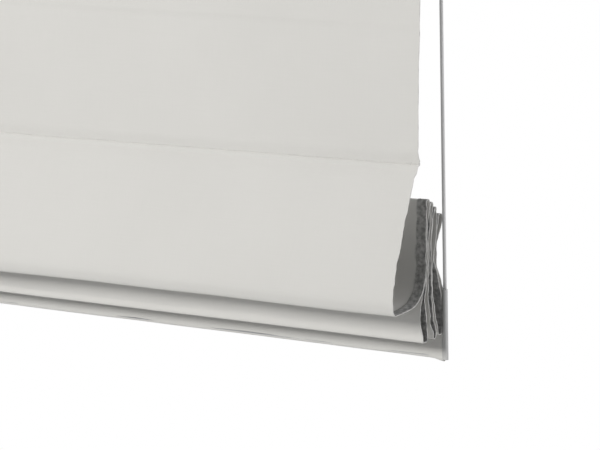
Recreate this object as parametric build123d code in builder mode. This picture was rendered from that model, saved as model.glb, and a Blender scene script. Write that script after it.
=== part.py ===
# A partly raised roman blind that hangs on two wall brackets: one cloth with stiff ribs in its
# creases, a weighted bottom bar, four lift cords, and a spring-balanced winding shaft in the headrail.
# Millimetres. +X is to the right, -Y is the room side, +Z is up. The origin is on the wall, in the
# middle of the four wall screw holes.
import os
from math import acos, cos, hypot, pi, radians, sin, tan

from build123d import *

os.makedirs("parts", exist_ok=True)

# ---------------------------------------------------------------- driving dimensions
cloth_w = 600.0  # width of the cloth
cloth_t = 0.9  # cloth with its lining
cloth_gap = 58.0  # from the wall to the middle of the hanging cloth
flat_drop = 520.0  # top edge of the cloth to the crease that the stack hangs from
rib_pitch = 240.0  # cloth between two ribs
body_gap = 0.3  # between pieces that move apart
soft_gap = 0.15  # between a cloth pocket and what it holds

rail_over = 12.0  # headrail past the cloth at each side
rail_depth = 44.0
rail_h = 28.0
rail_t = 1.6
rail_lip = 7.0  # inturned lips along the open top
rail_cap_t = 1.8
rail_plug = 2.4  # how far an end cap reaches into the headrail
tape_h = 18.0  # height of the hook and loop tapes
tape_t = 1.7

bracket_inset = 60.0  # from the cloth's side edge to the middle of a bracket
bracket_w = 30.0
bracket_t = 2.5
bracket_low = 16.0  # wall plate below the origin
wall_hole_z = 9.0  # wall holes above and below the origin
screw_hole_r = 2.3
ceiling_hole_y = -6.2
claw_t = 2.0
claw_reach = 4.5

cord_r = 1.5
cord_clear = 2.5  # an edge cord's middle outside the cloth
inner_cord_inset = 100.0  # an inner cord from the cloth's side edge
cord_slope = 0.0375  # the edge cords lean back towards the wall on the way down
cord_start_z = -8.0  # where a cord comes clear of its spool
wind_r = 8.5  # radius at which the cord's middle winds on

shaft_side = 6.0
shaft_short = 3.0  # shaft's end inside the headrail's
shaft_depth = 22.2  # shaft axis behind the cloth
square_gap = 0.05
run_gap = 0.08  # running clearance of a journal
journal_r = 5.0
journal_len = 3.5
spool_core_r = 6.0
spool_flange_r = 10.6
spool_flange_t = 1.2
spool_half = 19.0  # half the winding length
edge_spool_inset = 17.0  # middle of an edge spool from its cord
cradle_t = 2.2
cradle_floor = 1.2
cradle_y_half = 9.0
cradle_top = 7.5
eyelet_bore_r = 2.2
eyelet_r = 3.2
eyelet_flange_r = 4.4
eyelet_flange_t = 0.8

motor_half = 30.0
motor_wall = 1.2
motor_plate = 4.0
motor_top = 9.0
cover_t = 1.4
drum_pitch = 15.2  # between the two drums' axes
drum_flange_r = 7.4
drum_flange_t = 1.0
band_r = 6.8  # outside of the spring's roll on either drum
band_t = 0.3
storage_core_r = 4.0
storage_journal_r = 3.0
cover_screw_r = 1.0
cover_screw_head_r = 2.1
cover_screw_head_h = 1.2
cover_screw_len = 7.0

rib_r = 1.5
rib_inset = 4.0  # rib's end from the cloth's side edge
rib_tip = 2.4
ring_major = 4.3  # cord rings
ring_minor = 0.9

bar_t = 5.0
bar_h = 20.0
bar_inset = 1.0  # bar's end from the cloth's side edge
bar_round = 2.4
bar_pin_r = 1.5
bar_pin_len = 10.0
cap_plate_t = 1.2
stem_r = 2.2
stem_top = -105.0  # top of the end cap's stem, from the crease
stop_r = 3.0

# ---------------------------------------------------------------- derived places
cloth_half = cloth_w / 2
rail_half = cloth_half + rail_over
bracket_x = cloth_half - bracket_inset
cord_x = cloth_half + cord_clear
inner_cord_x = cloth_half - inner_cord_inset
shaft_half = rail_half - shaft_short
edge_spool_x = cord_x - edge_spool_inset
rib_half = cloth_half - rib_inset
bar_half = cloth_half - bar_inset
rail_front = -cloth_gap + cloth_t / 2 + soft_gap + 2 * tape_t
rail_back = rail_front + rail_depth
rail_mid = (rail_front + rail_back) / 2
rail_top = rail_h / 2
rail_floor = -rail_h / 2
crease_z = rail_top - flat_drop
shaft_y = shaft_depth - cloth_gap
storage_y = shaft_y + drum_pitch
pocket = rib_r + soft_gap + cloth_t / 2  # middle of the cloth from a rib's axis


def place(depth, height):
    """Y and Z of a point given behind the hanging cloth and above the stack's crease."""
    return (depth - cloth_gap, crease_z + height)


def corner_radii(points):
    """A radius for each inner corner that leaves a tenth of the shorter run straight."""
    radii = []
    for before, corner, after in zip(points, points[1:], points[2:]):
        u = (corner[0] - before[0], corner[1] - before[1])
        v = (after[0] - corner[0], after[1] - corner[1])
        run = min(hypot(*u), hypot(*v))
        turn = acos((u[0] * v[0] + u[1] * v[1]) / (hypot(*u) * hypot(*v)))
        radii.append(0.45 * run / tan(turn / 2))
    return radii


def tuck(height):
    """A rib's tunnel, pinched out of the back of the hanging cloth round the rib."""
    neck = cloth_t / 2 + 0.25
    inner = 1.3
    outer = inner + 2 * pocket
    return [
        (0, height + neck),
        (inner, height + neck),
        (inner, height + pocket),
        (outer, height + pocket),
        (outer, height - pocket),
        (inner, height - pocket),
        (inner, height - neck),
        (0, height - neck),
    ]


tuck_rib = 1.3 + pocket  # a rib's axis behind the hanging cloth
tuck_back = 1.3 + 2 * pocket + cloth_t / 2


def save(part, name):
    part.part.label = name
    export_step(part.part, f"parts/{name}.step")


# ---------------------------------------------------------------- the cloth
# Four rear creases, each a tunnel round its rib: middle, behind the cloth, and outer top.
rear_creases = [(13.6, -29.0), (19.9, -31.5), (26.2, -36.5), (32.5, -43.0)]


def tunnel(number):
    """The four corners of the cloth round a rear crease's rib, front ones first."""
    middle, top = rear_creases[number]
    line = top - cloth_t / 2
    foot = line - 2 * pocket - 0.6
    front, rear = middle - pocket, middle + pocket
    return [(front, foot), (front, line), (rear, line), (rear, foot)]


first_pleat = [
    (-7.3, -12.8), (-12.4, -24.7), (-22.5, -55.0), (-33.0, -79.5), (-37.7, -98.0), (-39.3, -108.4),
    (-34.7, -117.9), (-19.7, -116.6), (-6.2, -114.0), (2.1, -108.6), (7.3, -102.0), (10.3, -92.0),
    (11.1, -80.0),
]
second_pleat = [
    (13.2, -80.0), (11.9, -93.0), (9.4, -102.5), (6.0, -110.0), (3.3, -120.0), (4.2, -129.0),
    (7.2, -138.0), (8.8, -145.55), (15.0, -145.55), (15.6, -141.0), (13.8, -129.0), (11.7, -114.0),
    (11.6, -104.0), (13.9, -92.0), (15.3, -80.0),
]
third_pleat = [
    (17.4, -80.0), (15.9, -95.0), (16.8, -114.0), (19.0, -130.0), (22.3, -138.5), (23.4, -144.4),
    (28.0, -144.4), (28.2, -139.5), (24.6, -129.0), (21.0, -114.0), (19.2, -95.0), (19.5, -80.0),
]
fourth_pleat = [
    (21.6, -80.0), (22.0, -95.0), (23.4, -114.0), (26.9, -129.0), (30.9, -137.5), (31.9, -142.4),
    (36.0, -142.4), (36.8, -137.0), (37.3, -129.0), (33.8, -105.0), (30.6, -94.0), (23.7, -80.0),
    (25.3, -66.0),
]
last_panel = [(27.4, -66.0), (25.8, -80.0), (33.0, -94.0), (36.0, -105.0), (39.5, -129.0), (39.0, -138.5)]

# The hem pocket wraps the bottom bar.
bar_middle = 40.1  # behind the hanging cloth
hem_low = -163.6
hem_half = bar_t / 2 + 0.1 + cloth_t / 2
hem_line = hem_low + cloth_t / 2
bar_low = hem_low + cloth_t + soft_gap
bar_top = bar_low + bar_h
hem_pocket = [
    (bar_middle - hem_half, bar_top + 0.4),
    (bar_middle - hem_half, hem_line),
    (bar_middle + hem_half, hem_line),
    (bar_middle + hem_half, bar_top + 0.4),
    (bar_middle + 0.15, bar_top + 3.75),
]

split = pocket + cloth_t / 2 + 0.55  # height above the crease where the moving cloth starts
upper_line = [(0, flat_drop)] + tuck(rib_pitch) + [(0, split + body_gap)]
folds_line = [(0, split)] + tuck(0) + first_pleat + tunnel(0) + second_pleat + tunnel(1)
folds_line += third_pleat + tunnel(2) + fourth_pleat + tunnel(3) + last_panel + hem_pocket


def cloth(line, name):
    with BuildPart() as sheet:
        with BuildSketch(Plane.YZ):
            points = [place(*point) for point in line]
            with BuildLine():
                FilletPolyline(*points, radius=corner_radii(points))
            trace(line_width=cloth_t)
        extrude(amount=cloth_w / 2, both=True)
    save(sheet, name)


cloth(upper_line, "fabric_upper")
cloth(folds_line, "fabric_folds")

# ---------------------------------------------------------------- ribs, tips and cord rings
stack_ribs = [(tuck_rib, 0.0)] + [(d, top - cloth_t / 2 - pocket) for d, top in rear_creases]
upper_rib = (tuck_rib, rib_pitch)


def rib(at, name):
    with BuildPart() as rod:
        with BuildSketch(Plane.YZ):
            with Locations(place(*at)):
                Circle(rib_r)
        extrude(amount=rib_half, both=True)
    save(rod, name)


def rib_tips(places, name):
    with BuildPart() as tips:
        for side in (-1, 1):
            with BuildSketch(Plane.YZ.offset(side * rib_half)):
                for at in places:
                    with Locations(place(*at)):
                        Circle(rib_r)
            extrude(amount=side * rib_tip)
    save(tips, name)


for number, at in enumerate(stack_ribs, start=1):
    rib(at, f"stack_rib_{number}")
rib(upper_rib, "upper_rib")
rib_tips(stack_ribs, "stack_rib_tips")
rib_tips([upper_rib], "upper_rib_tips")

# A ring behind a hanging rib lies level; one on a rear crease is tipped 45 degrees by the cord.
level_ring = tuck_back + body_gap + ring_major + ring_minor
tipped = ring_major * sin(radians(45))
crease_rings = [
    (middle + 2.6, top + body_gap + ring_minor + tipped) for middle, top in rear_creases
]


def cord_rings(places, name):
    """Rings given as (behind the cloth, height, tip)."""
    with BuildPart() as rings:
        for x in (-inner_cord_x, inner_cord_x):
            for depth, height, tip in places:
                y, z = place(depth, height)
                with Locations(Location((x, y, z), (tip, 0, 0))):
                    Torus(ring_major, ring_minor)
    save(rings, name)


stack_rings = [(level_ring, 0.0, 0)] + [(d, h, 45) for d, h in crease_rings]
cord_rings(stack_rings, "stack_cord_rings")
cord_rings([(level_ring, rib_pitch, 0)], "upper_cord_rings")

# ---------------------------------------------------------------- bottom bar and its end caps
bar_y, bar_z = place(bar_middle, bar_low + bar_h / 2)

with BuildPart() as bottom_bar:
    with BuildSketch(Plane.YZ):
        with Locations((bar_y, bar_z)):
            RectangleRounded(bar_t, bar_h, bar_round)
    extrude(amount=bar_half, both=True)
    for side in (-1, 1):
        with BuildSketch(Plane.YZ.offset(side * bar_half)):
            with Locations((bar_y, bar_z)):
                Circle(bar_pin_r + 0.05)
        extrude(amount=-side * (bar_pin_len + 1), mode=Mode.SUBTRACT)
save(bottom_bar, "bottom_bar")


def cord_depth(height):
    """How far behind the cloth an edge cord is, at a height above the crease."""
    at_axis = shaft_depth - wind_r
    return at_axis + cord_slope * (flat_drop - rail_top - height)


plate_x = cloth_w / 2 + body_gap
for side, name in ((-1, "bar_cap_left"), (1, "bar_cap_right")):
    with BuildPart() as bar_cap:
        with BuildSketch(Plane.YZ.offset(side * bar_half)):
            with Locations((bar_y, bar_z)):
                RectangleRounded(bar_t, bar_h, bar_round)
        extrude(amount=side * (plate_x - bar_half))
        with BuildSketch(Plane.YZ.offset(side * plate_x)):
            with Locations((bar_y, place(0, hem_low)[1] + (bar_h + 2.6) / 2)):
                RectangleRounded(2 * hem_half + cloth_t, bar_h + 2.6, bar_round)
        extrude(amount=side * cap_plate_t)
        with BuildSketch(Plane.YZ.offset(side * bar_half)):
            with Locations((bar_y, bar_z)):
                Circle(bar_pin_r)
        extrude(amount=-side * bar_pin_len)
        stem_foot = place(cord_depth(hem_low), hem_low + 0.2)
        stem_head = place(cord_depth(stem_top), stem_top)
        foot = Vector(side * cord_x, *stem_foot)
        head = Vector(side * cord_x, *stem_head)
        with BuildSketch(Plane(origin=foot, z_dir=head - foot)):
            Circle(stem_r)
        extrude(amount=(head - foot).length)
    save(bar_cap, name)

# ---------------------------------------------------------------- lift cords
cord_end = stem_top + body_gap
for side, name in ((-1, "edge_cord_left"), (1, "edge_cord_right")):
    top = Vector(side * cord_x, cord_depth(cord_start_z - crease_z) - cloth_gap, cord_start_z)
    low = Vector(side * cord_x, *place(cord_depth(cord_end), cord_end))
    with BuildPart() as edge_cord:
        with BuildSketch(Plane(origin=top, z_dir=low - top)):
            Circle(cord_r)
        extrude(amount=(low - top).length)
    save(edge_cord, name)

# An inner cord hangs through its rings and ends in a stop behind the last one.
inner_route = [
    (cord_depth(cord_start_z - crease_z), cord_start_z - crease_z),
    (level_ring, rib_pitch),
    (level_ring + 0.2, 0.0),
    (level_ring + 0.9, -12.0),
] + crease_rings + [(crease_rings[-1][0] + 2.0, crease_rings[-1][1] - 2.2)]
stop_at = (inner_route[-1][0] + 1.6, inner_route[-1][1] - 1.9)
inner_points = [place(*point) for point in inner_route]
print("inner cord radii", [round(r, 1) for r in corner_radii(inner_points)])
for side, end in ((-1, "left"), (1, "right")):
    with BuildPart() as inner_cord:
        with BuildLine(Plane.YZ.offset(side * inner_cord_x)) as route:
            FilletPolyline(*inner_points, radius=corner_radii(inner_points))
        with BuildSketch(Plane(origin=route.line @ 0, z_dir=route.line % 0)):
            Circle(cord_r)
        sweep()
    save(inner_cord, f"inner_cord_{end}")
    with BuildPart() as cord_stop:
        with Locations((side * inner_cord_x, *place(*stop_at))):
            Sphere(stop_r)
        with Locations((side * inner_cord_x, *place(*inner_route[-1]))):
            Sphere(cord_r + 0.6, mode=Mode.SUBTRACT)
    save(cord_stop, f"cord_stop_{end}")

# ---------------------------------------------------------------- headrail
cord_exits = [
    (-cord_x, "left_edge", -edge_spool_x), (-inner_cord_x, "left", -inner_cord_x),
    (inner_cord_x, "right", inner_cord_x), (cord_x, "right_edge", edge_spool_x),
]
exit_y = cord_depth(rail_floor - crease_z) - cloth_gap

with BuildPart() as headrail:
    with BuildSketch(Plane.YZ):
        with Locations((rail_mid, 0)):
            Rectangle(rail_depth, rail_h)
            Rectangle(rail_depth - 2 * rail_t, rail_h - 2 * rail_t, mode=Mode.SUBTRACT)
        with Locations((rail_mid, rail_top)):
            Rectangle(rail_depth - 2 * rail_lip, 2 * rail_t + 1, mode=Mode.SUBTRACT)
    extrude(amount=rail_half, both=True)
    with BuildSketch(Plane.XY.offset(rail_floor)):
        for x, _, _ in cord_exits:
            with Locations((x, exit_y)):
                Circle(eyelet_r + 0.05)
    extrude(amount=rail_t, mode=Mode.SUBTRACT)
save(headrail, "headrail")

for side, name in ((-1, "headrail_cap_left"), (1, "headrail_cap_right")):
    with BuildPart() as rail_cap:
        with BuildSketch(Plane.YZ.offset(side * rail_half)):
            with Locations((rail_mid, 0)):
                RectangleRounded(rail_depth, rail_h, 1.0)
        extrude(amount=side * rail_cap_t)
        with BuildSketch(Plane.YZ.offset(side * rail_half)):
            with Locations((rail_mid, 0)):
                Rectangle(rail_depth - 2 * rail_t - 0.1, rail_h - 2 * rail_t - 0.1)
        extrude(amount=-side * rail_plug)
    save(rail_cap, name)

for name, front in (("hook_tape", rail_front - tape_t), ("loop_tape", rail_front - 2 * tape_t)):
    with BuildPart() as tape:
        with BuildSketch(Plane.YZ):
            with Locations((front + tape_t / 2, 0)):
                Rectangle(tape_t, tape_h)
        extrude(amount=cloth_w / 2 - 4, both=True)
    save(tape, name)

# ---------------------------------------------------------------- wall brackets
arm_low = rail_top
arm_top = arm_low + bracket_t
lip_under = rail_top - rail_t - 0.2
for side, name in ((-1, "bracket_left"), (1, "bracket_right")):
    with BuildPart() as bracket:
        with BuildSketch(Plane.YZ.offset(side * bracket_x)):
            with BuildLine():
                front = rail_front + rail_lip + 0.3
                back = rail_back - rail_lip - 0.3
                Polyline(
                    (0, -bracket_low), (0, arm_top), (rail_front, arm_top), (rail_front, arm_low),
                    (front, arm_low), (front, lip_under), (front - claw_reach, lip_under),
                    (front - claw_reach, lip_under - claw_t), (front + claw_t, lip_under - claw_t),
                    (front + claw_t, arm_low), (back - claw_t, arm_low),
                    (back - claw_t, lip_under - claw_t), (back + claw_reach, lip_under - claw_t),
                    (back + claw_reach, lip_under), (back, lip_under), (back, arm_low),
                    (-bracket_t, arm_low), (-bracket_t, -bracket_low), close=True,
                )
            make_face()
        extrude(amount=bracket_w / 2, both=True)
        with BuildSketch(Plane.XZ):
            with Locations((side * bracket_x, wall_hole_z), (side * bracket_x, -wall_hole_z)):
                Circle(screw_hole_r)
        extrude(amount=bracket_t, mode=Mode.SUBTRACT)
        with BuildSketch(Plane.XY.offset(arm_low)):
            with Locations((side * bracket_x, ceiling_hole_y)):
                Circle(screw_hole_r)
        extrude(amount=bracket_t, mode=Mode.SUBTRACT)
    save(bracket, name)

# ---------------------------------------------------------------- winding shaft, spools, cradles
with BuildPart() as winding_shaft:
    with BuildSketch(Plane.YZ):
        with Locations((shaft_y, 0)):
            Rectangle(shaft_side, shaft_side)
    extrude(amount=shaft_half, both=True)
save(winding_shaft, "winding_shaft")


def disc(radius, middle, x_from, x_to, mode=Mode.ADD):
    """A round about the X direction, in the part that is being built."""
    with BuildSketch(Plane.YZ.offset(x_from)) as face:
        with Locations(middle):
            Circle(radius)
    extrude(face.sketch, amount=x_to - x_from, mode=mode)


shaft_at = (shaft_y, 0)
seat_z = rail_floor + rail_t
for exit_x, end, spool_x in cord_exits:
    outer = spool_half + spool_flange_t
    with BuildPart() as spool:
        disc(spool_core_r, shaft_at, spool_x - spool_half, spool_x + spool_half)
        disc(spool_flange_r, shaft_at, spool_x - outer, spool_x - spool_half)
        disc(spool_flange_r, shaft_at, spool_x + spool_half, spool_x + outer)
        disc(journal_r, shaft_at, spool_x - outer - journal_len, spool_x - outer)
        disc(journal_r, shaft_at, spool_x + outer, spool_x + outer + journal_len)
        with BuildSketch(Plane.YZ.offset(spool_x - outer - journal_len)):
            with Locations(shaft_at):
                Rectangle(shaft_side + 2 * square_gap, shaft_side + 2 * square_gap)
        extrude(amount=2 * (outer + journal_len), mode=Mode.SUBTRACT)
    save(spool, f"spool_{end}")

    with BuildPart() as wound_cord:
        disc(wind_r + cord_r, shaft_at, spool_x - spool_half + 0.1, spool_x + spool_half - 0.1)
        disc(spool_core_r + 0.05, shaft_at, spool_x - spool_half, spool_x + spool_half, Mode.SUBTRACT)
    save(wound_cord, f"wound_cord_{end}")

    plate_in = outer + body_gap
    cradle_half = plate_in + cradle_t
    with BuildPart() as cradle:
        with BuildSketch(Plane.XY.offset(seat_z)):
            with Locations((spool_x, shaft_y)):
                Rectangle(2 * cradle_half, 2 * cradle_y_half)
        extrude(amount=cradle_floor)
        for plate_side in (-1, 1):
            with BuildSketch(Plane.YZ.offset(spool_x + plate_side * plate_in)):
                with Locations((shaft_y, (seat_z + cradle_top) / 2)):
                    Rectangle(2 * cradle_y_half, cradle_top - seat_z)
            extrude(amount=plate_side * cradle_t)
        disc(journal_r + run_gap, shaft_at, spool_x - cradle_half, spool_x + cradle_half, Mode.SUBTRACT)
        with BuildSketch(Plane.XY.offset(seat_z)):
            with Locations((exit_x, exit_y)):
                Circle(eyelet_flange_r + 0.2)
        extrude(amount=cradle_floor, mode=Mode.SUBTRACT)
    save(cradle, f"cradle_{end}")

    with BuildPart() as eyelet:
        with BuildSketch(Plane.XY.offset(rail_floor - eyelet_flange_t)):
            with Locations((exit_x, exit_y)):
                Circle(eyelet_flange_r)
        extrude(amount=eyelet_flange_t)
        with BuildSketch(Plane.XY.offset(rail_floor)):
            with Locations((exit_x, exit_y)):
                Circle(eyelet_r)
        extrude(amount=rail_t + 0.6)
        with BuildSketch(Plane.XY.offset(rail_floor - eyelet_flange_t)):
            with Locations((exit_x, exit_y)):
                Circle(eyelet_bore_r)
        extrude(amount=eyelet_flange_t + rail_t + 1, mode=Mode.SUBTRACT)
    save(eyelet, f"eyelet_{end}")

# ---------------------------------------------------------------- spring motor
motor_front = shaft_y - drum_flange_r - 1.5
motor_back = storage_y + drum_flange_r + body_gap + motor_wall
motor_mid = (motor_front - motor_wall + motor_back) / 2
motor_depth = motor_back - motor_front + motor_wall
drum_half = motor_half - motor_plate - body_gap
storage_at = (storage_y, 0)

with BuildPart() as spring_housing:
    with BuildSketch(Plane.XY.offset(seat_z)):
        with Locations((0, motor_mid)):
            Rectangle(2 * motor_half, motor_depth)
    extrude(amount=motor_top - seat_z)
    with BuildSketch(Plane.XY.offset(seat_z + motor_wall)):
        with Locations((0, motor_mid)):
            Rectangle(2 * (motor_half - motor_plate), motor_depth - 2 * motor_wall)
    extrude(amount=motor_top - seat_z, mode=Mode.SUBTRACT)
    disc(journal_r + run_gap, shaft_at, -motor_half, motor_half, Mode.SUBTRACT)
    disc(storage_journal_r + run_gap, storage_at, -motor_half, motor_half, Mode.SUBTRACT)
    with BuildSketch(Plane.XY.offset(motor_top)):
        for x in (-motor_half + motor_plate / 2, motor_half - motor_plate / 2):
            with Locations((x, motor_mid)):
                Circle(cover_screw_r + 0.02)
    extrude(amount=-cover_screw_len, mode=Mode.SUBTRACT)
save(spring_housing, "spring_housing")

with BuildPart() as spring_cover:
    with BuildSketch(Plane.XY.offset(motor_top)):
        with Locations((0, motor_mid)):
            RectangleRounded(2 * motor_half, motor_depth, 1.0)
        for x in (-motor_half + motor_plate / 2, motor_half - motor_plate / 2):
            with Locations((x, motor_mid)):
                Circle(cover_screw_r + 0.1, mode=Mode.SUBTRACT)
    extrude(amount=cover_t)
save(spring_cover, "spring_cover")

with BuildPart() as cover_screws:
    for x in (-motor_half + motor_plate / 2, motor_half - motor_plate / 2):
        with BuildSketch(Plane.XY.offset(motor_top + cover_t)):
            with Locations((x, motor_mid)):
                Circle(cover_screw_head_r)
        extrude(amount=cover_screw_head_h)
        with BuildSketch(Plane.XY.offset(motor_top + cover_t)):
            with Locations((x, motor_mid)):
                Circle(cover_screw_r)
        extrude(amount=-cover_t - cover_screw_len + 0.5)
save(cover_screws, "cover_screws")

with BuildPart() as output_drum:
    disc(journal_r, shaft_at, -motor_half + 0.5, motor_half - 0.5)
    for side in (-1, 1):
        disc(drum_flange_r, shaft_at, side * drum_half, side * (drum_half - drum_flange_t))
    with BuildSketch(Plane.YZ.offset(-motor_half)):
        with Locations(shaft_at):
            Rectangle(shaft_side + 2 * square_gap, shaft_side + 2 * square_gap)
    extrude(amount=2 * motor_half, mode=Mode.SUBTRACT)
save(output_drum, "output_drum")

with BuildPart() as storage_drum:
    disc(storage_core_r, storage_at, -drum_half, drum_half)
    disc(storage_journal_r, storage_at, -motor_half + 0.5, motor_half - 0.5)
    for side in (-1, 1):
        disc(drum_flange_r, storage_at, side * drum_half, side * (drum_half - drum_flange_t))
save(storage_drum, "storage_drum")

# The spring is a steel band: a roll on either drum and the crossing run between them.
band_half = drum_half - drum_flange_t - body_gap
lean = acos(2 * band_r / drum_pitch)
touch = ((band_r - band_t / 2) * cos(lean), (band_r - band_t / 2) * sin(lean))
with BuildPart() as drive_spring:
    with BuildSketch(Plane.YZ):
        with Locations(shaft_at, storage_at):
            Circle(band_r)
        with BuildLine():
            Line((shaft_y + touch[0], touch[1]), (storage_y - touch[0], -touch[1]))
        trace(line_width=band_t)
        with Locations(shaft_at):
            Circle(journal_r + run_gap, mode=Mode.SUBTRACT)
        with Locations(storage_at):
            Circle(storage_core_r + run_gap, mode=Mode.SUBTRACT)
    extrude(amount=band_half, both=True)
save(drive_spring, "drive_spring")

print("turns of the shaft over 420 mm of lift", round(420 / (2 * pi * wind_r), 2))
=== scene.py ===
# A partly raised roman blind: how its surfaces look. Metres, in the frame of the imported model:
# +X to the right, -Y towards the room, +Z up, the origin on the wall between the brackets' screws.
from math import atan2, cos, exp, hypot, pi, radians, sin

import bmesh
import bpy
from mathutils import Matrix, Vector, noise


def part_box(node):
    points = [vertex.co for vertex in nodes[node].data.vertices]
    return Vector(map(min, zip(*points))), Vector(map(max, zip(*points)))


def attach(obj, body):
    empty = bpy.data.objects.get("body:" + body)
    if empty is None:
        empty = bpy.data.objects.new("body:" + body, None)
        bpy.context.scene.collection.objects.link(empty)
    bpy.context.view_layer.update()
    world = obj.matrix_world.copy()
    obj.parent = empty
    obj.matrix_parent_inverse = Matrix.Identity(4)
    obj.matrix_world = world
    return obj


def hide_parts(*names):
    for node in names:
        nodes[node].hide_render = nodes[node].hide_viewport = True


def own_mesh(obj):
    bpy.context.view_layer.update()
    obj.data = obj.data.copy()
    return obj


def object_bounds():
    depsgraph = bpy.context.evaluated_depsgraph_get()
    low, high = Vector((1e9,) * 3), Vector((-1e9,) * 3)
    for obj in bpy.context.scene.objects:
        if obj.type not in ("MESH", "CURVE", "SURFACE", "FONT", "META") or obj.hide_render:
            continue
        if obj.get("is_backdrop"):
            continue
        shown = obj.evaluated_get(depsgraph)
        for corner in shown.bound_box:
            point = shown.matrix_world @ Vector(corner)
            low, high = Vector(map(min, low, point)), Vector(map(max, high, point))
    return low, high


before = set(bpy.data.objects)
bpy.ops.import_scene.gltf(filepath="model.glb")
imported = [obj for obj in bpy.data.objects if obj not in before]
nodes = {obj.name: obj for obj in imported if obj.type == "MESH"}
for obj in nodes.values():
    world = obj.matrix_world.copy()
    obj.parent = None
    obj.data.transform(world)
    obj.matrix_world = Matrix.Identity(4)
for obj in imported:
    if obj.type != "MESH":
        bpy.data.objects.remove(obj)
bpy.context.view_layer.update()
mm = 0.001

# ------------------------------------------------------------------ camera
# A long lens that stands at the front right, a little above the pleats, and looks slightly down on
# the blind's lower right corner.
azimuth = radians(35.22)
look_down = radians(7.835)
camera_data = bpy.data.cameras.new("camera")
camera_data.lens = 163.1
camera_data.sensor_width = 36.0
camera_data.clip_start = 0.05
camera = bpy.data.objects.new("camera", camera_data)
camera.location = (1.4636, -1.8702, -0.2583)
camera.rotation_euler = (pi / 2 - look_down, 0, azimuth)
bpy.context.scene.collection.objects.link(camera)
bpy.context.scene.camera = camera


# ------------------------------------------------------------------ lift cords
# Braided grey polyester cords of 3 mm. The two at the cloth's side edges run straight from the
# headrail's eyelets to the stems of the bottom bar's end caps; the two inner ones hang behind the
# cloth, pass through the rings on the rib pockets and end in a stop.
def new_material(name, color, rough, metallic=0.0):
    """A material with one Principled shader; returns it with its nodes and that shader."""
    made = bpy.data.materials.new(name)
    made.use_nodes = True
    shader = made.node_tree.nodes["Principled BSDF"]
    shader.inputs["Base Color"].default_value = (*color, 1.0)
    shader.inputs["Roughness"].default_value = rough
    shader.inputs["Metallic"].default_value = metallic
    return made, made.node_tree, shader


def add_node(tree, kind, *links, **values):
    """A node with values set by name and links given as (input, socket)."""
    node = tree.nodes.new(kind)
    for name, value in values.items():
        if name in node.inputs:
            node.inputs[name].default_value = value
        else:
            setattr(node, name, value)
    for name, socket in links:
        tree.links.new(socket, node.inputs[name])
    return node


def calculate(tree, operation, first, second=0.0):
    """One sum of two sockets or numbers; returns its output."""
    node = tree.nodes.new("ShaderNodeMath")
    node.operation = operation
    for slot, value in enumerate((first, second)):
        if isinstance(value, bpy.types.NodeSocket):
            tree.links.new(value, node.inputs[slot])
        else:
            node.inputs[slot].default_value = value
    return node.outputs[0]


def new_group(name, inputs, outputs):
    """An empty shader node group with float or vector sockets; returns it with its two ends."""
    group = bpy.data.node_groups.new(name, "ShaderNodeTree")
    for socket, kind in inputs.items():
        group.interface.new_socket(socket, in_out="INPUT", socket_type=kind)
    for socket in outputs:
        group.interface.new_socket(socket, in_out="OUTPUT", socket_type="NodeSocketFloat")
    return group, group.nodes.new("NodeGroupInput"), group.nodes.new("NodeGroupOutput")


def weave_group():
    """Plain weave: threads over and under each other, with thicker and thinner yarns."""
    group, given, out = new_group(
        "plain_weave",
        {"Vector": "NodeSocketVector", "Pitch": "NodeSocketFloat", "Slub": "NodeSocketFloat"},
        ("Height", "Tone"),
    )
    split = add_node(group, "ShaderNodeSeparateXYZ", ("Vector", given.outputs["Vector"]))
    turns = calculate(group, "DIVIDE", pi, given.outputs["Pitch"])
    across = calculate(group, "MULTIPLY", split.outputs["X"], turns)
    along = calculate(group, "MULTIPLY", split.outputs["Y"], turns)
    warp = calculate(group, "ABSOLUTE", calculate(group, "SINE", across))
    weft = calculate(group, "ABSOLUTE", calculate(group, "SINE", along))
    over = calculate(group, "MULTIPLY", calculate(group, "COSINE", across),
                     calculate(group, "COSINE", along))
    lift = calculate(group, "MULTIPLY", over, 0.35)
    threads = calculate(group, "MULTIPLY", warp, weft)
    stretch = add_node(group, "ShaderNodeMapping", ("Vector", given.outputs["Vector"]),
                       Scale=(900.0, 40.0, 1.0))
    yarns = add_node(group, "ShaderNodeTexNoise", ("Vector", stretch.outputs[0]), Scale=1.0, Detail=3.0)
    stretch_weft = add_node(group, "ShaderNodeMapping", ("Vector", given.outputs["Vector"]),
                            Scale=(30.0, 800.0, 1.0))
    yarns_weft = add_node(group, "ShaderNodeTexNoise", ("Vector", stretch_weft.outputs[0]),
                          Scale=1.0, Detail=3.0)
    slubs = calculate(group, "ADD", yarns.outputs[0], yarns_weft.outputs[0])
    slubs = calculate(group, "MULTIPLY", calculate(group, "SUBTRACT", slubs, 1.0), given.outputs["Slub"])
    height = calculate(group, "ADD", calculate(group, "ADD", threads, lift), slubs)
    tone = calculate(group, "ADD", calculate(group, "MULTIPLY", threads, 0.06), slubs)
    group.links.new(height, out.inputs["Height"])
    group.links.new(tone, out.inputs["Tone"])
    return group


plain_weave = weave_group()


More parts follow.
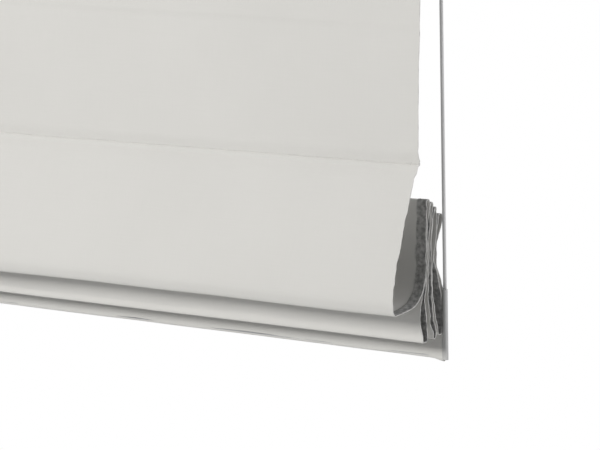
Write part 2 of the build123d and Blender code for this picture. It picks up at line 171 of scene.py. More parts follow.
def woven(name, dark, light, pitch, slub, strength, sheen=0.0):
    """Cloth or cord: the weave on the piece's own UV map, in metres."""
    made, tree, shader = new_material(name, light, 0.9)
    shader.inputs["Sheen Weight"].default_value = sheen
    shader.inputs["Specular IOR Level"].default_value = 0.2
    uv = add_node(tree, "ShaderNodeUVMap", uv_map="UVMap")
    weave = add_node(tree, "ShaderNodeGroup", node_tree=plain_weave)
    tree.links.new(uv.outputs[0], weave.inputs["Vector"])
    weave.inputs["Pitch"].default_value = pitch
    weave.inputs["Slub"].default_value = slub
    blotch = add_node(tree, "ShaderNodeTexNoise", ("Vector", uv.outputs[0]), Scale=9.0, Detail=4.0)
    tone = calculate(tree, "MULTIPLY", calculate(tree, "SUBTRACT", blotch.outputs[0], 0.5), 0.25)
    tone = calculate(tree, "ADD", calculate(tree, "ADD", weave.outputs["Tone"], 0.75), tone)
    ramp = add_node(tree, "ShaderNodeValToRGB", ("Fac", tone))
    ramp.color_ramp.elements[0].position = 0.4
    ramp.color_ramp.elements[0].color = (*dark, 1.0)
    ramp.color_ramp.elements[1].position = 1.0
    ramp.color_ramp.elements[1].color = (*light, 1.0)
    tree.links.new(ramp.outputs[0], shader.inputs["Base Color"])
    bump = add_node(tree, "ShaderNodeBump", ("Height", weave.outputs["Height"]),
                    Strength=strength, Distance=pitch * 0.35)
    tree.links.new(bump.outputs[0], shader.inputs["Normal"])
    return made


def new_object(name, points, faces, uvs=None, made=None):
    """A smooth mesh object at the origin; uvs are one pair for each point."""
    mesh = bpy.data.meshes.new(name)
    mesh.from_pydata(points, [], faces)
    if uvs:
        layer = mesh.uv_layers.new(name="UVMap")
        for loop in mesh.loops:
            layer.data[loop.index].uv = uvs[loop.vertex_index]
    mesh.shade_smooth()
    if made:
        mesh.materials.append(made)
    piece = bpy.data.objects.new(name, mesh)
    bpy.context.scene.collection.objects.link(piece)
    return piece


def spline_points(route, resolution=16):
    """The points of a smooth NURBS curve that has the route's points as its control points."""
    curve = bpy.data.curves.new("route", "CURVE")
    curve.dimensions = "3D"
    spline = curve.splines.new("NURBS")
    spline.points.add(len(route) - 1)
    for point, at in zip(spline.points, route):
        point.co = (*at, 1.0)
    spline.order_u = min(3, len(route))
    spline.use_endpoint_u = True
    spline.resolution_u = resolution
    holder = bpy.data.objects.new("route", curve)
    bpy.context.scene.collection.objects.link(holder)
    bpy.context.view_layer.update()
    mesh = bpy.data.meshes.new_from_object(holder.evaluated_get(bpy.context.evaluated_depsgraph_get()))
    found = [vertex.co.copy() for vertex in mesh.vertices]
    bpy.data.objects.remove(holder)
    bpy.data.meshes.remove(mesh)
    return found


def cord_tube(name, line, radius, made, sides=14):
    """A closed round tube along the line, with its UV map in metres round and along it."""
    points, uvs, faces = [], [], []
    run = 0.0
    reference = Vector((1, 0, 0)) if abs((line[1] - line[0]).normalized().x) < 0.8 else Vector((0, 0, 1))
    for number, at in enumerate(line):
        before = line[max(number - 1, 0)]
        after = line[min(number + 1, len(line) - 1)]
        ahead = (after - before).normalized()
        side = ahead.cross(reference).normalized()
        up = ahead.cross(side)
        run += (at - before).length
        for turn in range(sides + 1):
            angle = 2 * pi * turn / sides
            points.append(at + radius * (cos(angle) * side + sin(angle) * up))
            uvs.append((radius * angle, run))
    ring = sides + 1
    for number in range(len(line) - 1):
        for turn in range(sides):
            a = number * ring + turn
            faces.append((a, a + 1, a + ring + 1, a + ring))
    for number, flip in ((0, 1), (len(line) - 1, -1)):
        points.append(line[number])
        uvs.append((0.0, 0.0))
        middle = len(points) - 1
        for turn in range(sides):
            a = number * ring + turn
            faces.append((middle, a + 1, a)[::flip])
    tube = new_object(name, points, faces, uvs, made)
    shape = bmesh.new()
    shape.from_mesh(tube.data)
    bmesh.ops.remove_doubles(shape, verts=shape.verts, dist=1e-7)
    shape.to_mesh(tube.data)
    shape.free()
    return tube


cord_radius = 1.5 * mm
cord_braid = woven("cord_braid", (0.66, 0.66, 0.66), (0.93, 0.93, 0.925), 0.8 * mm, 0.1, 0.8)
edge_route = [(-0.0440, -0.0080), (-0.0327, -0.3093), (-0.0214, -0.6107)]
for end, x in (("left", -0.3025), ("right", 0.3025)):
    line = spline_points([(x, *point) for point in edge_route], 24)
    edge_cord = cord_tube(f"edge_lift_cord_{end}", line, cord_radius, cord_braid)
    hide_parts(f"edge_cord_{end}")
    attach(edge_cord, "headrail_body")
    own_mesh(edge_cord)

# Each inner cord's straight run shortens as the blind rises; the rest lies in the pleats and rises
# with them.
inner_route = [
    (-0.0440, -0.0080), (-0.04655, -0.2660), (-0.04635, -0.5060), (-0.04565, -0.5180),
    (-0.0418, -0.53076), (-0.0355, -0.53326), (-0.0292, -0.53826), (-0.0229, -0.54476),
    (-0.0209, -0.54696),
]
for end, x in (("left", -0.2), ("right", 0.2)):
    line = spline_points([(x, *point) for point in inner_route])
    split = next(k for k, at in enumerate(line) if at.z < -0.490)
    hanging_cord = cord_tube(f"inner_lift_cord_{end}", line[:split + 1], cord_radius, cord_braid)
    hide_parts(f"inner_cord_{end}")
    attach(hanging_cord, "headrail_body")
    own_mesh(hanging_cord)
    pleat_cord = cord_tube(f"inner_lift_cord_{end}_in_pleats", line[split:], cord_radius, cord_braid)
    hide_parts(f"inner_cord_{end}")
    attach(pleat_cord, "pleat_stack")


# ------------------------------------------------------------------ headrail, end caps, brackets
# The headrail is an open-topped aluminium extrusion, powder coated off-white, with moulded caps
# pushed into its ends. The brackets are bent steel in the same coat, snapped over its lips.
def grain_group():
    """Fine unevenness of a coated or moulded skin, and broader patches of tone."""
    group, given, out = new_group(
        "skin_grain", {"Scale": "NodeSocketFloat", "Depth": "NodeSocketFloat"}, ("Height", "Tone", "Gloss")
    )
    place = add_node(group, "ShaderNodeTexCoord")
    fine = add_node(group, "ShaderNodeTexNoise", ("Vector", place.outputs["Object"]),
                    ("Scale", given.outputs["Scale"]), Detail=4.0)
    broad = add_node(group, "ShaderNodeTexNoise", ("Vector", place.outputs["Object"]),
                     Scale=18.0, Detail=3.0)
    group.links.new(calculate(group, "MULTIPLY", fine.outputs[0], given.outputs["Depth"]),
                    out.inputs["Height"])
    tone = calculate(group, "ADD", calculate(group, "MULTIPLY", broad.outputs[0], 0.7),
                     calculate(group, "MULTIPLY", fine.outputs[0], 0.3))
    group.links.new(tone, out.inputs["Tone"])
    group.links.new(fine.outputs[0], out.inputs["Gloss"])
    return group


skin_grain = grain_group()


def skinned(name, dark, light, rough, scale, strength, metallic=0.0):
    """Paint, plastic or metal with a fine grain in its colour, roughness and relief."""
    made, tree, shader = new_material(name, light, rough, metallic)
    grain = add_node(tree, "ShaderNodeGroup", node_tree=skin_grain)
    grain.inputs["Scale"].default_value = scale
    grain.inputs["Depth"].default_value = 1.0
    ramp = add_node(tree, "ShaderNodeValToRGB", ("Fac", grain.outputs["Tone"]))
    ramp.color_ramp.elements[0].position = 0.3
    ramp.color_ramp.elements[0].color = (*dark, 1.0)
    ramp.color_ramp.elements[1].position = 0.7
    ramp.color_ramp.elements[1].color = (*light, 1.0)
    tree.links.new(ramp.outputs[0], shader.inputs["Base Color"])
    spread = add_node(tree, "ShaderNodeMapRange", ("Value", grain.outputs["Gloss"]))
    spread.inputs["To Min"].default_value = rough - 0.07
    spread.inputs["To Max"].default_value = rough + 0.07
    tree.links.new(spread.outputs[0], shader.inputs["Roughness"])
    bump = add_node(tree, "ShaderNodeBump", ("Height", grain.outputs["Height"]),
                    Strength=strength, Distance=0.1 * mm)
    tree.links.new(bump.outputs[0], shader.inputs["Normal"])
    return made


def finish_nodes(made, *names):
    """Gives CAD pieces a material."""
    for name in names:
        nodes[name].data.materials.clear()
        nodes[name].data.materials.append(made)


rail_coat = skinned("rail_powder_coat", (0.74, 0.74, 0.72), (0.80, 0.80, 0.78), 0.42, 2600.0, 0.25)
bracket_coat = skinned("bracket_powder_coat", (0.72, 0.72, 0.71), (0.79, 0.79, 0.78), 0.46, 2200.0, 0.35)
white_moulding = skinned("white_moulding", (0.74, 0.74, 0.73), (0.80, 0.80, 0.79), 0.5, 1400.0, 0.2)
finish_nodes(rail_coat, "headrail")
finish_nodes(white_moulding, "headrail_cap_left", "headrail_cap_right")
finish_nodes(bracket_coat, "bracket_left", "bracket_right")


# ------------------------------------------------------------------ hook and loop tape
# Two strips of white nylon tape hold the cloth up. The hook half is glued to the headrail's face, and
# the loop half is sewn to the back of the cloth's top edge.
def tape_material():
    """Close rows of small nylon loops."""
    made, tree, shader = new_material("nylon_tape", (0.78, 0.78, 0.77), 0.85)
    place = add_node(tree, "ShaderNodeTexCoord")
    hooks = add_node(tree, "ShaderNodeTexVoronoi", ("Vector", place.outputs["Object"]), Scale=900.0)
    ramp = add_node(tree, "ShaderNodeValToRGB", ("Fac", hooks.outputs["Distance"]))
    ramp.color_ramp.elements[0].color = (0.8, 0.8, 0.79, 1.0)
    ramp.color_ramp.elements[1].color = (0.6, 0.6, 0.6, 1.0)
    tree.links.new(ramp.outputs[0], shader.inputs["Base Color"])
    bump = add_node(tree, "ShaderNodeBump", ("Height", hooks.outputs["Distance"]),
                    Strength=0.7, Distance=0.4 * mm)
    tree.links.new(bump.outputs[0], shader.inputs["Normal"])
    return made


finish_nodes(tape_material(), "hook_tape", "loop_tape")

# ------------------------------------------------------------------ winding shaft, spools, cradles
# A square zinc-plated steel shaft turns four moulded spools in cradles clipped into the headrail.
# The cord lies in close turns on each spool.
shaft_zinc = skinned("shaft_zinc", (0.50, 0.51, 0.52), (0.66, 0.67, 0.69), 0.35, 900.0, 0.2, 1.0)
spool_moulding = skinned("spool_moulding", (0.60, 0.60, 0.59), (0.68, 0.68, 0.67), 0.45, 1200.0, 0.2)
finish_nodes(shaft_zinc, "winding_shaft", "cover_screws", "drive_spring")
shaft_axis = Vector((0, -35.8 * mm, 0))
for end in ("left_edge", "left", "right", "right_edge"):
    finish_nodes(spool_moulding, f"spool_{end}")
    finish_nodes(white_moulding, f"cradle_{end}", f"eyelet_{end}")
    low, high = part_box(f"wound_cord_{end}")
    pitch = 2 * cord_radius + 0.12 * mm
    turns = int((high.x - low.x - 2 * cord_radius) / pitch)
    wind_radius = (high.z - low.z) / 2 - cord_radius
    line = []
    for step in range(turns * 20 + 1):
        angle = 2 * pi * step / 20
        line.append(Vector((low.x + cord_radius + pitch * step / 20,
                            shaft_axis.y + wind_radius * cos(angle), wind_radius * sin(angle))))
    winding = cord_tube(f"cord_winding_{end}", line, cord_radius, cord_braid, sides=8)
    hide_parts(f"wound_cord_{end}")
    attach(winding, "winding_shaft_body")

# ------------------------------------------------------------------ spring motor
# A grey moulded case with a screwed cover holds two drums and the steel band between them, whose
# pull balances the weight of the pleats.
case_moulding = skinned("case_moulding", (0.30, 0.31, 0.32), (0.38, 0.39, 0.40), 0.5, 1500.0, 0.3)
finish_nodes(case_moulding, "spring_housing", "spring_cover", "output_drum", "storage_drum")

# ------------------------------------------------------------------ ribs and cord rings
# Pultruded glass-fibre ribs with moulded tips lie in tunnels at the creases. Clear rings sewn to the
# tunnels carry the inner cords, which end in round stops.
rib_glass = skinned("rib_glass_fibre", (0.62, 0.63, 0.56), (0.74, 0.74, 0.68), 0.35, 700.0, 0.25)
ring_plastic = skinned("ring_plastic", (0.66, 0.66, 0.64), (0.75, 0.75, 0.73), 0.25, 900.0, 0.1)
finish_nodes(rib_glass, "upper_rib", *(f"stack_rib_{number}" for number in range(1, 6)))
finish_nodes(white_moulding, "upper_rib_tips", "stack_rib_tips")
finish_nodes(ring_plastic, "upper_cord_rings", "stack_cord_rings", "cord_stop_left", "cord_stop_right")

# ------------------------------------------------------------------ bottom bar and its end caps
# A flat aluminium bar with rounded edges weights the hem. Grey moulded caps close its ends, and each
# has a slim stem that the edge cord is moulded into.
bar_metal = skinned("bar_aluminium", (0.62, 0.62, 0.63), (0.74, 0.74, 0.75), 0.32, 500.0, 0.15, 1.0)
cap_moulding = skinned("cap_moulding", (0.54, 0.54, 0.535), (0.64, 0.64, 0.635), 0.45, 1500.0, 0.2)
finish_nodes(bar_metal, "bottom_bar")
finish_nodes(cap_moulding, "bar_cap_left", "bar_cap_right")

# ------------------------------------------------------------------ the cloth
# One width of off-white plain-weave cloth hangs flat, turns through four pleats and ends in a hem round
# the bottom bar. Its side edges are turned to the back and overlocked, which puckers them. Its three
# lengths meet edge to edge: the tape holds the top, the hanging length shortens, the pleats rise.
cloth_plane = -58 * mm
crease_z = -506 * mm
top_height = 520.0
tape_foot = 489.37  # where the cloth comes free of the tape
pleat_top = 14.0  # where the hanging length meets the pleats


def at_section(depth, height, x=0.0):
    """The point given in millimetres behind the hanging cloth and above the pleats' first crease."""
    return Vector((x, cloth_plane + depth * mm, crease_z + height * mm))


half_width = 300.0
cloth_half_t = 0.25
overlock_width = 9.2  # the turned-in band along each side edge
rear_creases = [(13.6, -29.0), (19.9, -31.5), (26.2, -36.5), (32.5, -43.0)]


# The first rib's tunnel is pinched out of the cloth's back and sewn shut at its mouth, which draws
# the cloth above it in a little.
first_tuck = [
    (0.0, 11.5), (0.05, 8.0), (0.6, 4.6), (1.25, 1.9), (1.5, 0.1), (1.72, -0.25), (1.72, 2.1),
    (5.5, 2.1), (5.5, -2.1), (1.72, -2.1), (1.72, -0.1), (1.1, -0.75), (0.2, -1.3), (-0.55, -2.3),
    (-0.75, -3.6),
]
tuck_mouth = (1.5, -0.5)


def in_tuck(depth, height):
    """Whether a place on the section lies behind the mouth of the first rib's tunnel."""
    return depth > 1.2 and abs(height) < 2.4


def tunnel(number):
    """The cloth round the rib of a rear crease."""
    middle, top = rear_creases[number]
    line = top - 0.45
    foot = line - 4.8
    return [(middle - 2.1, foot), (middle - 2.1, line), (middle + 2.1, line), (middle + 2.1, foot)]


first_pleat = [
    (-1.9, -5.6), (-7.3, -12.8), (-12.4, -24.7), (-22.5, -55.0), (-33.0, -79.5),
    (-37.7, -98.0), (-39.0, -108.0), (-36.9, -113.9), (-34.7, -118.2), (-31.4, -117.7),
    (-19.7, -116.4), (-6.2, -114.0), (2.1, -108.6), (7.3, -102.0), (10.3, -92.0), (11.1, -80.0),
]
second_pleat = [
    (13.2, -80.0), (11.9, -93.0), (9.4, -102.5), (6.0, -110.0), (3.3, -120.0), (4.2, -129.0),
    (7.1, -138.0), (8.1, -143.6), (8.8, -145.7), (10.8, -145.6), (14.2, -145.6), (15.6, -144.4),
    (15.6, -141.0), (13.8, -129.0), (11.7, -114.0), (11.6, -104.0), (13.9, -92.0), (15.3, -80.0),
]
third_pleat = [
    (17.4, -80.0), (15.9, -95.0), (16.8, -114.0), (19.0, -130.0), (22.3, -138.5), (23.6, -144.3),
    (27.8, -144.4), (28.2, -139.5), (24.6, -129.0), (21.0, -114.0), (19.2, -95.0), (19.5, -80.0),
]
fourth_pleat = [
    (21.6, -80.0), (22.0, -95.0), (23.4, -114.0), (26.9, -129.0), (30.9, -137.5), (31.9, -142.4),
    (36.0, -142.4), (36.8, -137.0), (37.3, -129.0), (33.8, -105.0), (30.6, -94.0), (23.7, -80.0),
    (25.3, -66.0),
]
last_panel = [(27.4, -66.0), (25.8, -80.0), (33.0, -94.0), (36.0, -105.0), (39.5, -129.0), (39.0, -138.5)]
hem_pocket = [
    (37.05, -142.15), (37.05, -163.15), (43.15, -163.15), (43.15, -142.15), (40.25, -138.8),
]
pleats = [(0.0, pleat_top)] + first_tuck + first_pleat + tunnel(0) + second_pleat + tunnel(1)
pleats += third_pleat + tunnel(2) + fourth_pleat + tunnel(3) + last_panel + hem_pocket


def section_samples(knots, run=0.0):
    """Walks the smooth curve through the knots: (behind, height, run, normal towards the back)."""
    joints = [knots[0]] + [((a[0] + b[0]) / 2, (a[1] + b[1]) / 2) for a, b in zip(knots[1:], knots[2:-1])]
    joints.append(knots[-1])
    fine = [knots[0]]
    for knot, (start, stop) in zip(knots[1:-1], zip(joints, joints[1:])):
        size = hypot(knot[0] - start[0], knot[1] - start[1]) + hypot(stop[0] - knot[0], stop[1] - knot[1])
        count = max(3, int(size / 2.4) + 1)
        for part in range(1, count + 1):
            t = part / count
            fine.append(tuple(
                (1 - t) ** 2 * start[k] + 2 * t * (1 - t) * knot[k] + t * t * stop[k] for k in (0, 1)
            ))
    samples = []
    for number, at in enumerate(fine):
        before, after = fine[max(number - 1, 0)], fine[min(number + 1, len(fine) - 1)]
        run += hypot(at[0] - before[0], at[1] - before[1])
        slope = atan2(after[1] - before[1], after[0] - before[0])
        samples.append((at[0], at[1], run, (-sin(slope), cos(slope))))
    return samples


def near(value, middle, reach):
    """1 at the middle, falling off smoothly to nothing about two reaches away."""
    return exp(-(((value - middle) / reach) ** 2))


def eased(value):
    """0 below 0, 1 above 1, and smooth between them."""
    value = min(max(value, 0.0), 1.0)
    return value * value * (3 - 2 * value)


def rough(across, along, size, seed):
    """Smooth chance unevenness from -1 to 1, in patches of the given size."""
    return noise.noise(Vector((across / size, along / size, seed)))


def relief(x, height, run):
    """How far the cloth stands off its section towards the back, in millimetres."""
    edge = half_width - abs(x)
    loose = 0.45 + 0.55 * eased((abs(height + 80) - 8) / 25)
    hang = 0.9 * rough(x, run * 0.6, 95.0, 1.5) + 0.35 * rough(x, run * 0.5, 38.0, 4.5)
    puckers = 0.45 * rough(x * 0.4, run, 6.5, 7.5) * near(edge, 6.5, 5.0)
    waves = 0.7 * rough(x * 0.5, run, 24.0, 9.5) * near(edge, 0.0, 20.0)
    marks = 0.5 * near(height, 240.0, 3.5) + 0.4 * near(height, 240.0, 1.0)
    if height > pleat_top:
        waves *= 0.7
        puckers = 0.0
        bend = 112.9 - 0.015 * x + 0.9 * rough(x, 0.0, 60.0, 2.5)
        soft_line = eased((bend + 3 - height) / 6) * (1 - eased((bend - 3 - height) / 40))
        marks += soft_line * (0.75 + 0.4 * rough(x, 0.0, 45.0, 3.5)) * (1 - 0.7 * eased((x - 200) / 40))
    if height < -138:
        loose = 0.3
        puckers += 0.7 * rough(x * 0.7, run, 9.0, 14.5) * near(edge, 15.0, 45.0)
    return loose * (hang + puckers + waves) + marks


def cross_places():
    """Where the columns of the cloth's mesh stand: close at the hems, wide between them."""
    close = [0.0, 0.5, 1.7, 3.4, 5.2, 6.8, 8.0, 8.8, 9.6, 11.0, 14.0, 18.5, 25.0, 34.0, 45.0]
    wide = [-240.0 + 20.0 * number for number in range(25)]
    return [edge - half_width for edge in close] + wide + [half_width - edge for edge in close[::-1]]


def middle_point(x, sample):
    """A point in the middle of the cloth's thickness, with its edge's wander and its hem's sag."""
    depth, height, run, normal = sample
    edge = half_width - abs(x)
    side = 1 if x > 0 else -1
    off = relief(x, height, run) * eased((abs(height) - 1.2) / 9)
    ragged = 0.9 * (1 - eased((height - pleat_top) / 8))
    wander = 1.1 * rough(side, run, 55.0, 5.5) + ragged * rough(side, run, 11.0, 6.5)
    wander *= near(edge, 0.0, 14.0)
    wander += 0.8 * ragged * rough(side, run, 4.6, 16.5) * near(edge, 0.0, 1.2)
    if in_tuck(depth, height):
        shut = 0.08 + 0.92 * eased(edge / 3.4)
        height = tuck_mouth[1] + (height - tuck_mouth[1]) * shut
        depth = tuck_mouth[0] + (depth - tuck_mouth[0]) * shut
        wander -= 1.6 * near(edge, 0.0, 2.5)
    height += 0.45 * rough(x, 0.0, 42.0, 15.5) * near(height, 0.0, 5.0)
    sag = 2.0 * near(edge, 0.0, 7.0) if height < -147 and depth > 30 else 0.0
    return at_section(depth + off * normal[0], height + off * normal[1] - sag, (x + side * wander) * mm)


def row_normals(rows):
    """The back's normal at each point of a grid of points."""
    found = []
    for number, row in enumerate(rows):
        before, after = rows[max(number - 1, 0)], rows[min(number + 1, len(rows) - 1)]
        found.append([
            (row[min(k + 1, len(row) - 1)] - row[max(k - 1, 0)]).cross(after[k] - before[k]).normalized()
            for k in range(len(row))
        ])
    return found


def two_layers(name, rows, normals, runs, places, half_t, hem=None, joins=()):
    """A closed length of cloth: front and back layers, rounded side edges, and its two ends.

    hem gives a place's extra thickness at the back and its share of the hem's painted shade, and
    joins are the rows of the ends that meet another length, whose shading stays as flat as the cloth's.
    """
    count, total = len(places), len(rows) * len(places)
    fronts, backs, shares, uvs, faces = [], [], [], [], []
    for row, line in enumerate(rows):
        for column, at in enumerate(line):
            extra, share = hem(places[column], row) if hem else (0.0, 0.0)
            fronts.append(at - normals[row][column] * half_t * mm)
            backs.append(at + normals[row][column] * (half_t + extra) * mm)
            shares.append(share)
            uvs.append((places[column] * mm, -runs[row] * mm))
    for row in range(len(rows) - 1):
        for column in range(count - 1):
            a = row * count + column
            faces.append((a, a + count, a + count + 1, a + 1))
            faces.append((a + total, a + total + 1, a + total + count + 1, a + total + count))
    points, shares, uvs = fronts + backs, [0.0] * total + shares, uvs + uvs
    for column, side in ((0, -1), (count - 1, 1)):
        first = len(points)
        for row in range(len(rows)):
            points.append(rows[row][column] + Vector((side * 0.3 * mm, 0, 0)))
            # Painted shade in patches along the rounded side edges, in the same dark colour as the hems'
            # band.
            rim_shade_patches = min(0.1 + 1.9 * max(rough(0.0, runs[row], 5.0, 13.5), 0.0), 1.0)
            shares.append(rim_shade_patches if hem else 0.0)
            uvs.append(uvs[row * count + column])
        for row in range(len(rows) - 1):
            f, k, m = row * count + column, total + row * count + column, first + row
            faces.append((f, m, m + 1, f + count)[::-side])
            faces.append((m, k, k + count, m + 1)[::-side])
        for row, turn in ((0, side), (len(rows) - 1, -side)):
            f, k, m = row * count + column, total + row * count + column, first + row
            faces.append((f, m, k)[::turn])
    last = total - count
    for column in range(count - 1):
        faces.append((column, column + 1, total + column + 1, total + column))
        faces.append((last + column, total + last + column, total + last + column + 1, last + column + 1))
    piece = new_object(name, points, faces, uvs, off_white)
    ends = set()
    for row in joins:
        start = (row % len(rows)) * count
        ends |= set(range(start, start + count)) | set(range(total + start, total + start + count))
    for edge in piece.data.edges:
        edge.use_edge_sharp = edge.vertices[0] in ends and edge.vertices[1] in ends
    layer = piece.data.attributes.new("hem_painted_shade", "FLOAT", "POINT")
    layer.data.foreach_set("value", shares)
    return piece


tape_heights = [520.0, 516.0, 511.0, 506.0, 501.0, 496.0, tape_foot]
hanging_heights = [485.0 - 5.0 * k for k in range(48)] + [246.0 - k for k in range(13)]
hanging_heights += [230.0 - 5.0 * k for k in range(22)] + [121.5 - 1.2 * k for k in range(17)]
hanging_heights += [98.0 - 4.0 * k for k in range(21)] + [pleat_top]
cloth_samples = [(0.0, h, top_height - h, (1.0, 0.0)) for h in tape_heights + hanging_heights]
tape_row = len(tape_heights) - 1
pleat_row = len(cloth_samples) - 1
cloth_samples += section_samples(pleats, top_height - pleat_top)[1:]
columns = cross_places()
middles = [[middle_point(x, sample) for x in columns] for sample in cloth_samples]
normals = row_normals(middles)
runs = [sample[2] for sample in cloth_samples]


off_white = woven("off_white_cloth", (0.70, 0.692, 0.668), (0.815, 0.807, 0.783), 0.55 * mm, 0.1, 0.3, 0.03)
tree = off_white.node_tree
shader = tree.nodes["Principled BSDF"]
plain = shader.inputs["Base Color"].links[0].from_socket
# The side hems' turned-in band is darkened to a mottled grey here. This is painted shade of the fold
# interiors and puckers, not the cloth's own colour.
mask = add_node(tree, "ShaderNodeAttribute", attribute_name="hem_painted_shade")
place = add_node(tree, "ShaderNodeTexCoord")
hem_shade_noise = add_node(tree, "ShaderNodeTexNoise", ("Vector", place.outputs["Object"]), Scale=300.0, Detail=4.0)
hem_shade_colours = add_node(tree, "ShaderNodeValToRGB", ("Fac", hem_shade_noise.outputs[0]))
hem_shade_colours.color_ramp.elements[0].position = 0.36
hem_shade_colours.color_ramp.elements[0].color = (0.29, 0.29, 0.285, 1.0)
hem_shade_colours.color_ramp.elements[1].position = 0.68
hem_shade_colours.color_ramp.elements[1].color = (0.60, 0.595, 0.585, 1.0)
blend = add_node(tree, "ShaderNodeMix", data_type="RGBA")
tree.links.new(mask.outputs["Fac"], blend.inputs[0])
tree.links.new(plain, blend.inputs[6])
tree.links.new(hem_shade_colours.outputs[0], blend.inputs[7])
tree.links.new(blend.outputs[2], shader.inputs["Base Color"])


def length_of_cloth(name, first, last, joins):
    """The cloth from one row to another, as one closed piece."""
    def hem(x, row):
        depth, height, run, _ = cloth_samples[first + row]
        edge = half_width - abs(x)
        band = overlock_width + 0.9 * rough(x, run, 7.0, 11.5)
        # share is how much of the hem's painted shade a place gets; the first rib's tuck gets none.
        share = 1 - eased((edge - band + 0.7) / 1.4)
        fold = share * (0.36 + 0.22 * rough(x, run, 3.6, 12.5))
        return fold, 0.0 if in_tuck(depth, height) else share

    return two_layers(name, middles[first:last + 1], normals[first:last + 1], runs[first:last + 1],
                      columns, cloth_half_t, hem, joins)


def shorten(piece):
    """Hangs a piece of the hanging length from the headrail's body, with a mesh of its own."""
    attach(piece, "headrail_body")
    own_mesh(piece)


cloth_top = length_of_cloth("cloth_at_tape", 0, tape_row, (-1,))
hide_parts("fabric_upper")
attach(cloth_top, "headrail_body")
hanging_cloth = length_of_cloth("hanging_cloth", tape_row, pleat_row, (0, -1))
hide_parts("fabric_upper")
shorten(hanging_cloth)
pleated_cloth = length_of_cloth("pleated_cloth", pleat_row, len(middles) - 1, (0,))
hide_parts("fabric_folds")
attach(pleated_cloth, "pleat_stack")

# The upper rib lies in a strip of the same cloth, sewn across the back along both its edges.
strip_knots = [
    (0.62, 248.5), (0.62, 244.5), (0.62, 242.4), (1.3, 242.15), (5.5, 242.1), (5.5, 237.9), (1.3, 237.85),
    (0.62, 237.6), (0.62, 235.5), (0.62, 231.5),
]
strip_inset = 10.9  # from the cloth's side edge to the strip's end
strip_samples = section_samples(strip_knots)
strip_columns = [x for x in columns if abs(x) <= half_width - strip_inset]
strip_rows = [[at_section(s[0], s[1], x * mm) for x in strip_columns] for s in strip_samples]
rib_strip = two_layers("upper_rib_strip", strip_rows, row_normals(strip_rows),
                       [s[2] for s in strip_samples], strip_columns, 0.2)
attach(rib_strip, "upper_rib_body")


# ------------------------------------------------------------------ stitching
# Polyester thread: zigzag overlocking on the turned-in side hems, and straight seams along the loop
# tape, the rear tunnels and the bottom hem.
def stitch_tree():
    """Lays one short rounded stitch on each point, turned along the seam and lying on the cloth."""
    tree = bpy.data.node_groups.new("stitches", "GeometryNodeTree")
    tree.interface.new_socket("Geometry", in_out="INPUT", socket_type="NodeSocketGeometry")
    for name, kind in (("Length", "Float"), ("Width", "Float"), ("Seed", "Int"), ("Thread", "Material")):
        tree.interface.new_socket(name, in_out="INPUT", socket_type=f"NodeSocket{kind}")
    tree.interface.new_socket("Geometry", in_out="OUTPUT", socket_type="NodeSocketGeometry")
    given, out = tree.nodes.new("NodeGroupInput"), tree.nodes.new("NodeGroupOutput")
    along = add_node(tree, "GeometryNodeInputNamedAttribute", data_type="FLOAT_VECTOR", Name="along")
    up = add_node(tree, "GeometryNodeInputNamedAttribute", data_type="FLOAT_VECTOR", Name="out")
    lie = add_node(tree, "FunctionNodeAlignRotationToVector", ("Vector", along.outputs[0]), axis="X")
    turn = add_node(tree, "FunctionNodeAlignRotationToVector", ("Vector", up.outputs[0]),
                    ("Rotation", lie.outputs[0]), axis="Z", pivot_axis="X")
    vary = add_node(tree, "FunctionNodeRandomValue", data_type="FLOAT")
    vary.inputs[2].default_value = 0.85
    vary.inputs[3].default_value = 1.15
    tree.links.new(given.outputs["Seed"], vary.inputs["Seed"])
    length = add_node(tree, "ShaderNodeMath", operation="MULTIPLY")
    tree.links.new(given.outputs["Length"], length.inputs[0])
    tree.links.new(vary.outputs[1], length.inputs[1])
    size = add_node(tree, "ShaderNodeCombineXYZ", ("X", length.outputs[0]), ("Y", given.outputs["Width"]),
                    ("Z", given.outputs["Width"]))
    bead = add_node(tree, "GeometryNodeMeshUVSphere", Segments=6, Rings=4, Radius=0.5)
    lay = add_node(tree, "GeometryNodeInstanceOnPoints", ("Points", given.outputs["Geometry"]),
                   ("Instance", bead.outputs[0]), ("Rotation", turn.outputs[0]), ("Scale", size.outputs[0]))
    real = add_node(tree, "GeometryNodeRealizeInstances", ("Geometry", lay.outputs[0]))
    dye = add_node(tree, "GeometryNodeSetMaterial", ("Geometry", real.outputs[0]),
                   ("Material", given.outputs["Thread"]))
    tree.links.new(dye.outputs[0], out.inputs["Geometry"])
    return tree


def laid(name, tree, holder, settings):
    """Evaluates a node tree on the holder and keeps the result as a plain mesh object."""
    modifier = holder.modifiers.new("nodes", "NODES")
    modifier.node_group = tree
    for item in tree.interface.items_tree:
        if item.in_out == "INPUT" and item.name in settings:
            modifier[item.identifier] = settings[item.name]
    bpy.context.view_layer.update()
    mesh = bpy.data.meshes.new_from_object(holder.evaluated_get(bpy.context.evaluated_depsgraph_get()))
    bpy.data.objects.remove(holder)
    mesh.shade_smooth()
    piece = bpy.data.objects.new(name, mesh)
    bpy.context.scene.collection.objects.link(piece)
    return piece


def cloth_frame(x, run):
    """The cloth's middle, its run's direction and its back's normal at a place on it."""
    column = max(k for k, place in enumerate(columns[:-1]) if place <= x)
    share = (x - columns[column]) / (columns[column + 1] - columns[column])
    row = next((k for k in range(len(cloth_samples) - 2) if cloth_samples[k + 1][2] > run), len(middles) - 2)
    part = (run - cloth_samples[row][2]) / max(cloth_samples[row + 1][2] - cloth_samples[row][2], 1e-6)
    part = min(max(part, 0.0), 1.0)
    upper = middles[row][column].lerp(middles[row][column + 1], share)
    lower = middles[row + 1][column].lerp(middles[row + 1][column + 1], share)
    ahead = (lower - upper).normalized()
    across = (middles[row][column + 1] - middles[row][column]).normalized()
    return upper.lerp(lower, part), across, ahead, across.cross(ahead).normalized()


stitches = {"tape": [], "hanging": [], "pleats": [], "strip": []}


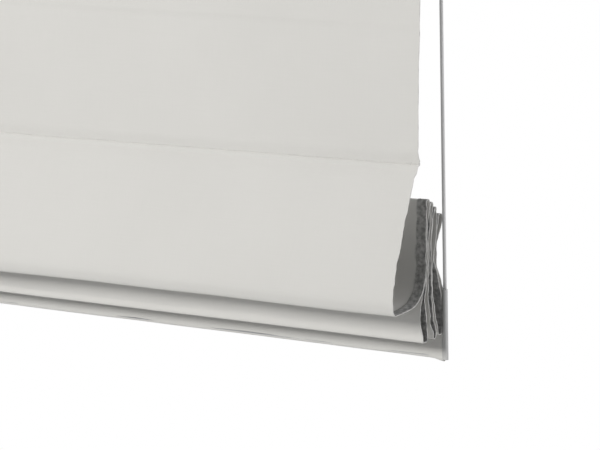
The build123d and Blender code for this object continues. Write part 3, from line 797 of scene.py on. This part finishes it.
def lay_stitch(x, run, lift, across_share=1.0, ahead_share=0.0):
    """One stitch at a place on the cloth; lift is positive on the back and negative on the front."""
    at, across, ahead, normal = cloth_frame(x, run)
    length = "tape" if run < runs[tape_row] else "hanging" if run < runs[pleat_row] else "pleats"
    along = (across * across_share + ahead * ahead_share).normalized()
    stitches[length].append((at + normal * lift * mm, along, normal if lift > 0 else -normal))


zigzag_pitch = 2.3
zigzag_x = half_width - 7.6
for side in (-1, 1):
    for number in range(int((runs[-1] - 8) / zigzag_pitch)):
        slant = 1 if number % 2 else -1
        run = 4 + zigzag_pitch * number
        lay_stitch(side * zigzag_x, run, cloth_half_t + 0.42, slant * 0.85, 0.6)
seam_runs = [
    min((s for s in cloth_samples if abs(s[0] - (m + 2.2)) < 0.8 and s[1] < t - 3.0),
        key=lambda s: abs(s[1] - (t - 5.2)))[2]
    for m, t in rear_creases
]
seam_runs.append(runs[-1] - 7.0)
stitch_pitch = 4.0
for number in range(148):
    x = -294 + stitch_pitch * number
    for height in (513.5, 498.5):
        lay_stitch(x, top_height - height, -cloth_half_t - 0.04)
    for run in seam_runs:
        lay_stitch(x, run, cloth_half_t + 0.04)
    if 3 < number < 145:
        for height in (246.0, 234.0):
            at = at_section(0.86, height, x * mm)
            stitches["strip"].append((at, Vector((1, 0, 0)), Vector((0, 1, 0))))

thread_white = woven("thread_white", (0.46, 0.46, 0.45), (0.62, 0.62, 0.60), 0.3 * mm, 0.05, 0.4)
stitch_nodes = stitch_tree()
for length, laid_stitches in stitches.items():
    holder = new_object(f"points_{length}", [at for at, _, _ in laid_stitches], [])
    for name, place in (("along", 1), ("out", 2)):
        layer = holder.data.attributes.new(name, "FLOAT_VECTOR", "POINT")
        layer.data.foreach_set("vector", [part for stitch in laid_stitches for part in stitch[place]])
    stitching = laid(f"stitching_{length}", stitch_nodes, holder,
                     {"Length": 3.0 * mm, "Width": 0.32 * mm, "Seed": 5, "Thread": thread_white})
    if length == "hanging":
        shorten(stitching)
    else:
        body = {"tape": "headrail_body", "pleats": "pleat_stack", "strip": "upper_rib_body"}[length]
        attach(stitching, body)

# ------------------------------------------------------------------ floor, light and backdrop
# A round, plain, pale painted floor well below the blind, three large soft lights in front of it,
# beside it and behind it, and a white surround.
floor_z = -1.7
floor_radius = 1.3
rim_turns = [2 * pi * k / 64 for k in range(64)]
rim = [(floor_radius * cos(turn), floor_radius * sin(turn), floor_z) for turn in rim_turns]
floor_paint = skinned("floor_paint", (0.80, 0.80, 0.79), (0.84, 0.84, 0.83), 0.7, 60.0, 0.02)
floor = new_object("floor", rim, [tuple(range(64))], None, floor_paint)
floor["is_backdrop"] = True

world = bpy.data.worlds.new("surround")
bpy.context.scene.world = world
world.use_nodes = True
tree = world.node_tree
tree.nodes.clear()
seen = add_node(tree, "ShaderNodeBackground", Color=(1.0, 1.0, 1.0, 1.0), Strength=1.0)
lit = add_node(tree, "ShaderNodeBackground", Color=(0.97, 0.98, 1.0, 1.0), Strength=0.2)
path = add_node(tree, "ShaderNodeLightPath")
mix = add_node(tree, "ShaderNodeMixShader")
tree.links.new(path.outputs["Is Camera Ray"], mix.inputs[0])
tree.links.new(lit.outputs[0], mix.inputs[1])
tree.links.new(seen.outputs[0], mix.inputs[2])
add_node(tree, "ShaderNodeOutputWorld", ("Surface", mix.outputs[0]))


def soft_light(name, place, aim, size, power, color):
    """A square area light that faces the point aimed at."""
    data = bpy.data.lights.new(name, "AREA")
    data.size = size
    data.energy = power
    data.color = color
    made = bpy.data.objects.new(name, data)
    made.location = place
    made.rotation_mode = "QUATERNION"
    made.rotation_quaternion = (Vector(aim) - Vector(place)).to_track_quat("-Z", "Y")
    bpy.context.scene.collection.objects.link(made)


soft_light("key", (-0.6, -3.2, 0.64), (0, 0, -0.35), 0.8, 80.5, (1.0, 0.99, 0.965))
soft_light("back_fill", (-0.9, 2.6, 0.8), (0, 0, -0.35), 1.6, 48.0, (1.0, 1.0, 1.0))
soft_light("side_fill", (2.8, 0.45, 0.1), (0, 0, -0.35), 1.2, 38.0, (1.0, 1.0, 1.0))
bpy.context.scene.view_settings.view_transform = "Standard"

low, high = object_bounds()
